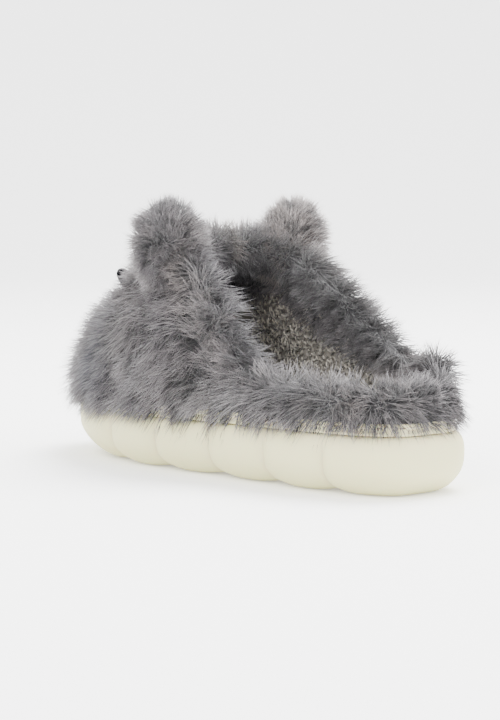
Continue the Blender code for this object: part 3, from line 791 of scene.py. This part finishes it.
def pile_tree():
    """Grows strands on a surface along its nap, pulled into clumps, strayed by noise and bent down."""
    tree = bpy.data.node_groups.new("pile", "GeometryNodeTree")
    sockets = (
        ("Geometry", "Geometry"), ("Strand", "Object"), ("Density", "Float"), ("Seed", "Int"),
        ("Half Width", "Float"), ("Clump Size", "Float"), ("Clump Pull", "Float"), ("Clump Lean", "Float"),
        ("Swirl Size", "Float"), ("Swirl", "Float"), ("Stray", "Float"), ("Droop", "Float"),
        ("Material", "Material"),
    )
    for name, kind in sockets:
        tree.interface.new_socket(name, in_out="INPUT", socket_type=f"NodeSocket{kind}")
    tree.interface.new_socket("Geometry", in_out="OUTPUT", socket_type="NodeSocketGeometry")
    given = add(tree, "NodeGroupInput").outputs

    def math_node(operation, first, second):
        return add(tree, "ShaderNodeMath", {0: first, 1: second}, operation=operation).outputs[0]

    def vector_node(operation, first, second):
        return add(tree, "ShaderNodeVectorMath", {0: first, 1: second}, operation=operation).outputs[0]

    def scaled(vector, factor):
        return add(tree, "ShaderNodeVectorMath", {0: vector, "Scale": factor}, operation="SCALE").outputs[0]

    def named(name, data_type="FLOAT"):
        return add(tree, "GeometryNodeInputNamedAttribute", {"Name": name}, data_type=data_type).outputs[0]

    def stored(geometry, name, value, data_type="FLOAT"):
        return add(tree, "GeometryNodeStoreNamedAttribute",
                   {"Geometry": geometry, "Name": name, "Value": value}, data_type=data_type).outputs[0]

    def chance(low, high, shift):
        seed = math_node("ADD", given["Seed"], shift)
        made = add(tree, "FunctionNodeRandomValue", {2: low, 3: high, "Seed": seed}, data_type="FLOAT")
        return made.outputs[1]

    roots = add(tree, "GeometryNodeDistributePointsOnFaces", {
        "Mesh": given["Geometry"], "Density": given["Density"], "Seed": given["Seed"],
    }, distribute_method="RANDOM")
    place = add(tree, "GeometryNodeInputPosition").outputs[0]
    wobble = add(tree, "ShaderNodeTexNoise", {"Vector": place, "Scale": 160.0}).outputs["Color"]
    wobbled = vector_node("ADD", place, scaled(vector_node("SUBTRACT", wobble, (0.5, 0.5, 0.5)), 0.004))
    cells = add(tree, "ShaderNodeTexVoronoi", {
        "Vector": wobbled, "Scale": math_node("DIVIDE", 1.0, given["Clump Size"]),
    })
    to_clump = vector_node("SUBTRACT", cells.outputs["Position"], place)
    points = stored(roots.outputs["Points"], "clump", to_clump, "FLOAT_VECTOR")
    points = stored(points, "tone", cells.outputs["Color"], "FLOAT")
    points = stored(points, "hair", chance(0.0, 1.0, 3))
    swirl = add(tree, "ShaderNodeTexNoise", {
        "Vector": place, "Scale": math_node("DIVIDE", 1.0, given["Swirl Size"]), "Detail": 1.0,
    }).outputs["Color"]
    swirl = scaled(vector_node("SUBTRACT", swirl, (0.5, 0.5, 0.5)), given["Swirl"])
    stray = add(tree, "FunctionNodeRandomValue", {0: (-1.0, -1.0, -1.0), 1: (1.0, 1.0, 1.0)},
                data_type="FLOAT_VECTOR").outputs[0]
    lean = vector_node("SUBTRACT", cells.outputs["Color"], (0.5, 0.5, 0.5))
    lie = vector_node("ADD", named("nap", "FLOAT_VECTOR"), scaled(lean, given["Clump Lean"]))
    lie = vector_node("ADD", lie, swirl)
    lie = vector_node("ADD", lie, scaled(stray, given["Stray"]))
    turned = add(tree, "FunctionNodeAlignRotationToVector", {"Vector": lie}, axis="Z").outputs[0]
    length = math_node("MULTIPLY", named("pile"), chance(0.70, 1.10, 1))
    points = stored(points, "reach", length)
    width = math_node("MULTIPLY", given["Half Width"], chance(0.6, 1.25, 2))
    size = add(tree, "ShaderNodeCombineXYZ", {0: width, 1: width, 2: length}).outputs[0]
    shape = add(tree, "GeometryNodeObjectInfo", {"Object": given["Strand"]})
    strands = add(tree, "GeometryNodeInstanceOnPoints", {
        "Points": points, "Instance": shape.outputs["Geometry"], "Rotation": turned, "Scale": size,
    })
    real = add(tree, "GeometryNodeRealizeInstances", {"Geometry": strands.outputs[0]}).outputs[0]
    up_strand = named("along")
    curve = math_node("POWER", up_strand, 1.6)
    pulled = scaled(named("clump", "FLOAT_VECTOR"), math_node("MULTIPLY", curve, given["Clump Pull"]))
    weight = math_node("MULTIPLY", math_node("MULTIPLY", curve, named("reach")), given["Droop"])
    dropped = add(tree, "ShaderNodeCombineXYZ", {2: math_node("MULTIPLY", weight, -1.0)}).outputs[0]
    moved = vector_node("ADD", pulled, dropped)
    bent = add(tree, "GeometryNodeSetPosition", {"Geometry": real, "Offset": moved})
    done = add(tree, "GeometryNodeSetMaterial", {"Geometry": bent.outputs[0], "Material": given["Material"]})
    add(tree, "NodeGroupOutput", {"Geometry": done.outputs[0]})
    return tree


def fur_material():
    """Grey pile: dark roots, partly painted shade, grey lengths and pale tips, with patches of slate and of
    warm beige, some of them painted light and shade.
    """
    material, tree, shader = finish_of("grey_pile", 0.82, Sheen_Weight=0.35, Sheen_Roughness=0.5)
    height = add(tree, "ShaderNodeAttribute", attribute_name="along").outputs["Fac"]
    tone = add(tree, "ShaderNodeAttribute", attribute_name="tone").outputs["Fac"]
    hair = add(tree, "ShaderNodeAttribute", attribute_name="hair").outputs["Fac"]
    # Dark at the root: partly painted shade deep in the pile.
    ramp = add(tree, "ShaderNodeValToRGB", {"Fac": height})
    stops = ramp.color_ramp.elements
    stops[0].position = 0.0
    stops[0].color = (*ROOT_SHADE_GREY, 1.0)
    stops[1].position = 1.0
    stops[1].color = (*TIP_GREY, 1.0)
    middle = stops.new(0.56)
    middle.color = (*MIDDLE_GREY, 1.0)
    shade = add(tree, "ShaderNodeAttribute", attribute_name="shade").outputs["Fac"]
    warmth = add(tree, "ShaderNodeAttribute", attribute_name="warmth").outputs["Fac"]
    furry = ramp.outputs["Color"]
    # The shade attribute brings painted light and shade as well as the pile's own lighter and darker patches.
    for share, low, high in (
        (soft_patches(tree, 34.0, 2.2), (0.66, 0.66, 0.70), (1.20, 1.18, 1.16)),
        (shade, (0.32, 0.32, 0.34), (1.98, 1.96, 1.93)),
        (warmth, (0.86, 0.92, 1.10), (1.14, 1.07, 0.96)),
        (tone, (0.54, 0.54, 0.55), (1.42, 1.41, 1.40)),
        (hair, (0.62, 0.62, 0.62), (1.40, 1.38, 1.37)),
    ):
        furry = mixed(tree, 1.0, furry, mixed(tree, share, low, high), "MULTIPLY")
    tree.links.new(furry, shader.inputs["Base Color"])
    return material


def backing_material(name, outside, inside):
    """Knitted backing under the pile: a cloth with an uneven nap, dark outside and taupe inside."""
    material, tree, shader = finish_of(name, 0.95, Sheen_Weight=0.2)
    inner = add(tree, "ShaderNodeAttribute", attribute_name="inside").outputs["Fac"]
    colour = mixed(tree, inner, outside, inside)
    uneven = mixed(tree, soft_patches(tree, 120.0, 2.0), (0.7, 0.7, 0.7), (1.3, 1.3, 1.3))
    tree.links.new(mixed(tree, 1.0, colour, uneven, "MULTIPLY"), shader.inputs["Base Color"])
    place = add(tree, "ShaderNodeTexCoord")
    knit = add(tree, "ShaderNodeTexVoronoi", {"Vector": place.outputs["Object"], "Scale": 420.0})
    bump = add(tree, "ShaderNodeBump", {
        "Height": knit.outputs["Distance"], "Strength": 0.8, "Distance": 0.001,
    })
    tree.links.new(bump.outputs["Normal"], shader.inputs["Normal"])
    return material


backing = backing_material("pile_backing", BACKING_GREY, BACKING_TAUPE)
grey_pile = fur_material()
FACING_END = 2.30
SKIN_STEPS = 240
SKIN_TURNS = [2 * i / SKIN_STEPS for i in range(SKIN_STEPS)]
SKIN_LEVELS = [0.0] + spaced(WELT_RISE, 1.0, 26) + spaced(1.12, 1.88, 7) + spaced(2.0, 2.92, 20) + [3.0]
skin_rings = [[shell_point(turn, level)[0] for turn in SKIN_TURNS] for level in SKIN_LEVELS]
skin = finished(loft(skin_rings, around=True), "upper_skin", backing, ("upper",))
marked(skin, "inside", [1.0 if level > FACING_END else 0.0 for level in SKIN_LEVELS for _ in SKIN_TURNS])

strand = strand_object()
pile = pile_tree()
FUR_LENGTH_HEEL = 0.0125
FUR_LENGTH_TOE = 0.0178
ROLL_LENGTH = 0.0150
NEAR_ROLL_LENGTH = 0.0190
FACING_LENGTH = 0.0115
EYE_SPREAD_SHARE = 0.50
EYE_STATION_SHARE = 0.280
EYE_CLEAR = 0.0085
EYE_SHORN = 0.0230
EYE_STUBBLE = 0.12
BARE_WELT_TURN = 1.83
BARE_WELT_REACH = 0.13
BARE_WELT_SHORN = 0.70
BARE_WELT_LIFT = 0.75
WHORL_TURN = 1.80
WHORL_LEVEL = 0.55
WHORL_REACH = 0.030


def eye_place(sign):
    """Where an eye sits on the vamp: the skin's point over its place in plan, and the normal there."""
    wanted = Vector((sign * EYE_SPREAD_SHARE * BALL_WIDTH / 2, EYE_STATION_SHARE * LENGTH))
    tries = [(1 - sign * turn, rise) for turn in spaced(0.02, 0.46, 60) for rise in spaced(0.25, 0.90, 60)]
    turn, rise = min(tries, key=lambda place: (upper_point(*place).xy - wanted).length)
    return upper_point(turn, rise), outward(turn, rise)[0]


eye_places = {sign: eye_place(sign) for sign in (1, -1)}
whorl = upper_point(WHORL_TURN, WHORL_LEVEL)


def outer_comb(turn, level, point, out, up):
    """Down over the welt low on the shoe, then out, and out again near the collar. The pile is shorn round
    the eyes, short over the welt at the back of the little toe's side, and parts from a whorl there."""
    _, share = side_and_share(turn)
    length = FUR_LENGTH_HEEL + (FUR_LENGTH_TOE - FUR_LENGTH_HEEL) * smooth(share * 1.7)
    lift = -0.60 + 0.85 * smooth((level - 0.25) / 0.65)
    bare = max(0.0, 1 - abs(turn - BARE_WELT_TURN) / BARE_WELT_REACH) * (1 - smooth((level - 0.15) / 0.45))
    length *= 1 - BARE_WELT_SHORN * smooth(bare * 2)
    lift += BARE_WELT_LIFT * smooth(bare * 2)
    eye_distance = min((point - place).length for place, _ in eye_places.values())
    length *= EYE_STUBBLE + (1 - EYE_STUBBLE) * smooth((eye_distance - EYE_CLEAR) / (EYE_SHORN - EYE_CLEAR))
    away = point - whorl
    parting = max(0.0, 1 - away.length / WHORL_REACH)
    return out + up * lift * (1 - parting) + away.normalized() * parting * 1.1, length


def collar_comb(turn, level, point, out, up):
    """The roll's pile stands along its crest, parts a little there, and falls in and down on the facing.
    It is longest on the little toe's side, behind the throat."""
    away = outward(turn, 1.0)[0]
    away = Vector((away.x, away.y, 0.0)).normalized()
    over = smooth((level - 1.35) / 0.5)
    fall = away * (0.30 - 0.75 * over) + Vector((0.0, 0.0, -0.50 * smooth((level - 1.75) / 0.4)))
    near_side = smooth((turn - 1.30) / 0.2) * smooth((1.97 - turn) / 0.2)
    crest_length = ROLL_LENGTH + (NEAR_ROLL_LENGTH - ROLL_LENGTH) * near_side
    length = crest_length + (FACING_LENGTH - crest_length) * smooth((level - 1.5) / 0.6)
    return out + fall, length


def furred(name, carrier, seed, slot="grey_fur", **changes):
    """Grows the pile on a carrier and makes it a piece."""
    values = {
        "Strand": strand, "Density": FUR_DENSITY, "Seed": seed, "Half Width": FUR_HALF_WIDTH,
        "Clump Size": 0.0056, "Clump Pull": 0.42, "Clump Lean": 1.15, "Swirl Size": 0.020, "Swirl": 2.2,
        "Stray": 0.40, "Droop": 0.22, "Material": grey_pile, **changes,
    }
    made = grown(carrier, pile, **values)
    for spare in ("clump", "reach", "nap", "pile"):
        if spare in made.attributes:
            made.attributes.remove(made.attributes[spare])
    return finished(made, name, values["Material"])


OUTER_LEVELS = [WELT_RISE * 0.9] + spaced(0.11, 1.0, 20)
OUTER_PARTS = ((-0.42, 0.42), (0.42, 0.80), (0.80, 1.06), (1.06, 1.32), (1.32, 1.58))
for part_index, (low, high) in enumerate(OUTER_PARTS):
    carrier = patch(f"fur_carrier_{part_index}", spaced(low, high, 40), OUTER_LEVELS, outer_comb)
    furred(f"fur_{part_index}", carrier, 11 + part_index)
ROLL_LEVELS = spaced(1.0, 2.0, 8)[1:] + spaced(2.04, 2.42, 6)
ROLL_PARTS = ((0.0, 0.55), (0.55, 1.1), (1.1, 2.0))
for part_index, (low, high) in enumerate(ROLL_PARTS):
    carrier = patch(f"roll_carrier_{part_index}", spaced(low, high, 70), [1.0] + ROLL_LEVELS, collar_comb)
    furred(f"fur_roll_{part_index}", carrier, 31 + part_index, Droop=0.10)


# The lining. Short curly pile in taupe, glued to the footbed and to the inner wall below the roll. Each
# tuft is a small three-sided curl.
CURL_RADIUS = 0.00150
CURL_STEPS = 4
LINING_PILE = CURL_RADIUS * 2
LINING_DENSITY = 170_000
LINING_FRONT = 0.70
FOOTBED_THICKNESS = 0.0055
FOOTBED_STEPS = 60
# Painted shade in the gaps between the curls.
TAUPE_GAP_SHADE = (0.15, 0.137, 0.118)
TAUPE_TIPS = (0.50, 0.468, 0.415)


def curl_object():
    """A curl of pile of unit size: most of a turn, rising as it goes."""
    points, heights = [], []
    for step in range(CURL_STEPS + 1):
        share = step / CURL_STEPS
        angle = 1.55 * math.pi * share
        middle = Vector((math.cos(angle) - 1, math.sin(angle), 0.9 * share * 2)) * 0.5
        width = 0.30 * (1 - 0.6 * share)
        for side in range(3):
            turn = 2 * math.pi * side / 3
            points.append(middle + Vector((math.cos(turn) * width, 0.0, math.sin(turn) * width)))
            heights.append(share)
    faces = []
    for step in range(CURL_STEPS):
        for side in range(3):
            low, low_next = step * 3 + side, step * 3 + (side + 1) % 3
            faces.append((low, low_next, low_next + 3, low + 3))
    faces.append((2, 1, 0))
    faces.append(tuple(CURL_STEPS * 3 + side for side in range(3)))
    data = bpy.data.meshes.new("curl")
    data.from_pydata(points, [], faces)
    data.attributes.new("along", "FLOAT", "POINT").data.foreach_set("value", heights)
    return bpy.data.objects.new("curl", data)


def lining_material():
    """Curly pile: taupe, with painted shade darkening each curl towards its foot in the gaps, and pale tips.
    """
    material, tree, shader = finish_of("taupe_pile", 0.95, Sheen_Weight=0.3)
    height = add(tree, "ShaderNodeAttribute", attribute_name="along").outputs["Fac"]
    hair = add(tree, "ShaderNodeAttribute", attribute_name="hair").outputs["Fac"]
    base = mixed(tree, height, TAUPE_GAP_SHADE, TAUPE_TIPS)
    single = mixed(tree, hair, (0.68, 0.68, 0.68), (1.25, 1.23, 1.20))
    tree.links.new(mixed(tree, 1.0, base, single, "MULTIPLY"), shader.inputs["Base Color"])
    return material


def footbed_rings():
    """The pad inside the upper, with a rounded upper edge."""
    wall_in = WELT_INSET + WELT_THICKNESS + GAP + WALL + 2 * GAP
    section = ((0.0, 0.0), (0.0, 0.6), (0.0010, 0.9), (0.0040, 1.0), (0.0100, 1.0), (0.0180, 1.0))
    rings = []
    for inset, share in section:
        halves = []
        for side in (medial_side, lateral_side):
            half = []
            for i in range(FOOTBED_STEPS + 1):
                point = side.at(side.length * i / FOOTBED_STEPS, wall_in + inset)
                half.append(Vector((*point, sole_top(point.y) + GAP + share * FOOTBED_THICKNESS)))
            halves.append(half)
        rings.append(halves[0] + halves[1][-2:0:-1])
    return rings


def footbed_carrier():
    """The footbed's top as an open mesh for the curls, up to where the vamp hides it."""
    mesh = loft(footbed_rings()[2:], capped=True)
    hidden = [
        face for face in mesh.faces
        if face.calc_center_median().z < sole_top(0.0) or face.normal.z < 0.3
    ]
    bmesh.ops.delete(mesh, geom=hidden, context="FACES")
    bmesh.ops.triangulate(mesh, faces=mesh.faces)
    cut = (0.0, (LINING_FRONT - 0.5) * LENGTH, 0.0)
    bmesh.ops.bisect_plane(mesh, geom=mesh.verts[:] + mesh.edges[:] + mesh.faces[:], plane_co=cut,
                           plane_no=(0.0, 1.0, 0.0), clear_outer=True)
    data = bpy.data.meshes.new("footbed_carrier")
    mesh.to_mesh(data)
    mesh.free()
    count = len(data.vertices)
    return pile_carrier("footbed_carrier", data, [Vector((0.0, 0.0, 1.0))] * count, [LINING_PILE] * count)


def lining_comb(turn, level, point, out, up):
    """Straight out of the wall, all one length."""
    return out + up * 0.1, LINING_PILE


taupe_pile = lining_material()
footbed_mesh = loft(footbed_rings(), capped=True)
footbed_pad = finished(footbed_mesh, "footbed_pad", backing, ("footbed",))
marked(footbed_pad, "inside", [1.0] * len(footbed_pad.data.vertices))
curl = curl_object()
wall_carrier = patch("wall_carrier", spaced(-LINING_FRONT, LINING_FRONT, 120), spaced(FACING_END, 2.93, 16),
                     lining_comb)
for name, carrier, seed in (("lining_walls", wall_carrier, 51), ("lining_footbed", footbed_carrier(), 52)):
    furred(name, carrier, seed, slot="lining_pile", **{
        "Strand": curl, "Density": LINING_DENSITY, "Half Width": LINING_PILE, "Clump Pull": 0.0,
        "Clump Lean": 0.3, "Swirl": 0.6, "Stray": 0.7, "Droop": 0.0, "Material": taupe_pile,
    })


# The ears. Two round plush ears sewn to the corners of the throat, covered in shorter pile that stands
# out all round.
EAR_HALF_WIDTH = 0.0160
EAR_HALF_THICKNESS = 0.0090
EAR_HALF_HEIGHT = 0.0185
EAR_SPREAD_SHARE = 0.80
EAR_STATION_SHARE = 0.093
EAR_CENTRE_SHARE = 0.98
EAR_TILT = math.radians(16)
EAR_RINGS = 20
EAR_SIDES = 32
EAR_PILE = 0.0115
# Painted light: the medial ear's pile is made lighter and warmer than the lateral ear's.
EAR_DYES_AND_LIGHT = {1: (1.0, 0.76), -1: (0.62, 0.56)}


def ear_place(sign):
    """Where an ear stands, leaning out from the middle."""
    centre = Vector((
        sign * EAR_SPREAD_SHARE * BALL_WIDTH / 2 + TOE_SWING / 2,
        EAR_STATION_SHARE * LENGTH,
        EAR_CENTRE_SHARE * INSTEP_HEIGHT,
    ))
    return Matrix.Translation(centre) @ Matrix.Rotation(sign * EAR_TILT, 4, "Y")


def ear_meshes(sign, name):
    """The plump ear itself, and the same surface to grow its pile on."""
    rings = []
    for step in range(1, EAR_RINGS):
        rise = math.pi * step / EAR_RINGS
        ring = []
        for side in range(EAR_SIDES):
            angle = 2 * math.pi * side / EAR_SIDES
            across = EAR_HALF_WIDTH * math.sin(rise) * math.cos(angle)
            through = EAR_HALF_THICKNESS * math.sin(rise) * math.sin(angle)
            ring.append(Vector((across, through, -EAR_HALF_HEIGHT * math.cos(rise))))
        rings.append(ring)
    mesh = loft(rings, capped=True)
    pad = bpy.data.meshes.new(name)
    mesh.to_mesh(pad)
    mesh.free()
    place = ear_place(sign)
    turn = place.to_3x3()
    naps = []
    for vert in pad.vertices:
        radial = Vector((vert.co.x, vert.co.y * 0.4, vert.co.z + EAR_HALF_HEIGHT * 0.5)).normalized()
        naps.append(turn @ (vert.normal * 0.8 + radial * 0.7))
    pad.transform(place)
    shade, warmth = EAR_DYES_AND_LIGHT[sign]
    count = len(naps)
    return pad, pile_carrier(name + "_carrier", pad.copy(), naps, [EAR_PILE] * count, [shade] * count,
                             [warmth] * count)


for sign, side_name in ((1, "medial"), (-1, "lateral")):
    pad, carrier = ear_meshes(sign, f"ear_pad_{side_name}")
    ear_pad = finished(pad, f"ear_pad_{side_name}", backing, (f"ear_{side_name}",))
    marked(ear_pad, "inside", [0.0] * len(ear_pad.data.vertices))
    furred(f"ear_fur_{side_name}", carrier, 61 + sign, **{
        "Density": FUR_DENSITY * 1.9, "Half Width": FUR_HALF_WIDTH * 0.85, "Clump Size": 0.006,
        "Clump Lean": 0.9, "Swirl": 0.8, "Droop": 0.10,
    })


# The eyes. Each is a small oval of black yarn in satin stitch, thick threads side by side over a dome that
# stands up to the top of the pile.
EYE_WIDTH = 0.012
EYE_HEIGHT = 0.009
EYE_LIFT = 0.0124
EYE_THREADS = 13
EYE_THREAD_RADIUS = 0.00130
EYE_THREAD_STEPS = 16
EYE_THREAD_SIDES = 8
EYE_FAN = math.radians(80)
EYE_ARCH = 0.4
YARN_BLACK = (0.003, 0.003, 0.004)


def eye_mesh(sign):
    """Threads side by side over a dome, each an arch from skin to skin, lower towards the eye's edge."""
    mesh = bmesh.new()
    point, out = eye_places[sign]
    place = Matrix.Translation(point) @ out.to_track_quat("Z", "Y").to_matrix().to_4x4()
    for i in range(EYE_THREADS):
        lean = EYE_FAN * (2 * i / (EYE_THREADS - 1) - 1)
        off = math.sin(lean) * (EYE_HEIGHT / 2 - EYE_THREAD_RADIUS)
        half = math.cos(lean) * EYE_WIDTH / 2
        rings = []
        for step in range(EYE_THREAD_STEPS + 1):
            angle = math.pi * step / EYE_THREAD_STEPS
            high = abs(math.sin(angle)) ** EYE_ARCH * math.cos(lean) * (EYE_LIFT - EYE_THREAD_RADIUS)
            middle = Vector((-half * math.cos(angle), off, high))
            normal = Vector((-math.cos(angle) * 0.6, 0.0, 0.4 + math.sin(angle))).normalized()
            ring = []
            for side in range(EYE_THREAD_SIDES):
                turn = 2 * math.pi * side / EYE_THREAD_SIDES
                around = normal * math.cos(turn) + Vector((0, 1, 0)) * math.sin(turn)
                ring.append(mesh.verts.new(place @ (middle + around * EYE_THREAD_RADIUS)))
            rings.append(ring)
        for first, second in zip(rings, rings[1:]):
            for side in range(EYE_THREAD_SIDES):
                other = (side + 1) % EYE_THREAD_SIDES
                mesh.faces.new((first[side], first[other], second[other], second[side]))
        mesh.faces.new(rings[0])
        mesh.faces.new(rings[-1])
    bmesh.ops.recalc_face_normals(mesh, faces=mesh.faces)
    return mesh


black_yarn = thread_material("black_yarn", YARN_BLACK, 0.9, gloss=0.0)
for sign, side_name in ((1, "medial"), (-1, "lateral")):
    finished(eye_mesh(sign), f"eye_threads_{side_name}", black_yarn, (f"eye_{side_name}",))

bpy.data.objects.remove(strand)
bpy.data.objects.remove(curl)


# The stage: a pale floor that sweeps up behind, soft light from above and both sides, and the camera at
# the photograph's place, turned to the one shoe.
CAMERA_PLACE = Vector((-0.718, -0.849, 0.1585))
CAMERA_AIM = Vector((-0.006, 0.000, 0.058))
CAMERA_LENS = 105.0
STAGE_GREY = (0.97, 0.97, 0.97)
STAGE_GLOW = 0.35
SWEEP_FRONT = -3.0
SWEEP_BACK = 2.0
SWEEP_RADIUS = 1.5
SWEEP_TOP = 5.0
SWEEP_HALF_WIDTH = 5.0
ROOM_LIGHT = 3.1


def sweep_mesh():
    """A floor that curves up into a wall far behind the shoe."""
    view = (CAMERA_AIM - CAMERA_PLACE).to_2d().normalized()
    side = Vector((view.y, -view.x))
    profile = [(SWEEP_FRONT, 0.0), (SWEEP_BACK, 0.0)]
    for degrees in range(6, 91, 6):
        angle = math.radians(degrees)
        height = SWEEP_RADIUS - SWEEP_RADIUS * math.cos(angle)
        profile.append((SWEEP_BACK + SWEEP_RADIUS * math.sin(angle), height))
    profile.append((SWEEP_BACK + SWEEP_RADIUS, SWEEP_TOP))
    mesh = bmesh.new()
    columns = []
    for across in (-SWEEP_HALF_WIDTH, SWEEP_HALF_WIDTH):
        column = [(*(view * ahead + side * across), height) for ahead, height in profile]
        columns.append([mesh.verts.new(point) for point in column])
    for i in range(len(profile) - 1):
        mesh.faces.new((columns[0][i], columns[1][i], columns[1][i + 1], columns[0][i + 1]))
    return mesh


def area_light(name, place, size, power):
    """A round soft light turned to the shoe."""
    light = bpy.data.lights.new(name, "AREA")
    light.shape = "DISK"
    light.size = size
    light.energy = power
    made = bpy.data.objects.new(name, light)
    made.location = place
    made.rotation_euler = (CAMERA_AIM - place).to_track_quat("-Z", "Y").to_euler()
    bpy.context.scene.collection.objects.link(made)


floor_mesh = bpy.data.meshes.new("pale_floor")
swept = sweep_mesh()
swept.to_mesh(floor_mesh)
swept.free()
floor_mesh.shade_smooth()
floor_material, _, floor_shader = finish_of("pale_floor", 0.9)
floor_shader.inputs["Base Color"].default_value = (*STAGE_GREY, 1.0)
floor_shader.inputs["Emission Color"].default_value = (1.0, 1.0, 1.0, 1.0)
floor_shader.inputs["Emission Strength"].default_value = STAGE_GLOW
floor_mesh.materials.append(floor_material)
pale_floor = bpy.data.objects.new("pale_floor", floor_mesh)
bpy.context.scene.collection.objects.link(pale_floor)

area_light("light_above", Vector((0.6, 0.1, 1.6)), 1.1, 84.0)
area_light("light_left", Vector((-1.6, -0.4, 1.1)), 1.2, 24.0)
area_light("light_right", Vector((0.9, -1.5, 0.9)), 1.2, 16.0)

world = bpy.data.worlds.new("soft_room")
world.use_nodes = True
background = world.node_tree.nodes["Background"]
background.inputs["Color"].default_value = (1.0, 1.0, 1.0, 1.0)
background.inputs["Strength"].default_value = ROOM_LIGHT
bpy.context.scene.world = world

camera = bpy.data.objects.new("camera", bpy.data.cameras.new("camera"))
camera.data.lens = CAMERA_LENS
camera.data.sensor_width = 36.0
camera.location = CAMERA_PLACE
camera.rotation_euler = (CAMERA_AIM - CAMERA_PLACE).to_track_quat("-Z", "Y").to_euler()
bpy.context.scene.collection.objects.link(camera)
bpy.context.scene.camera = camera
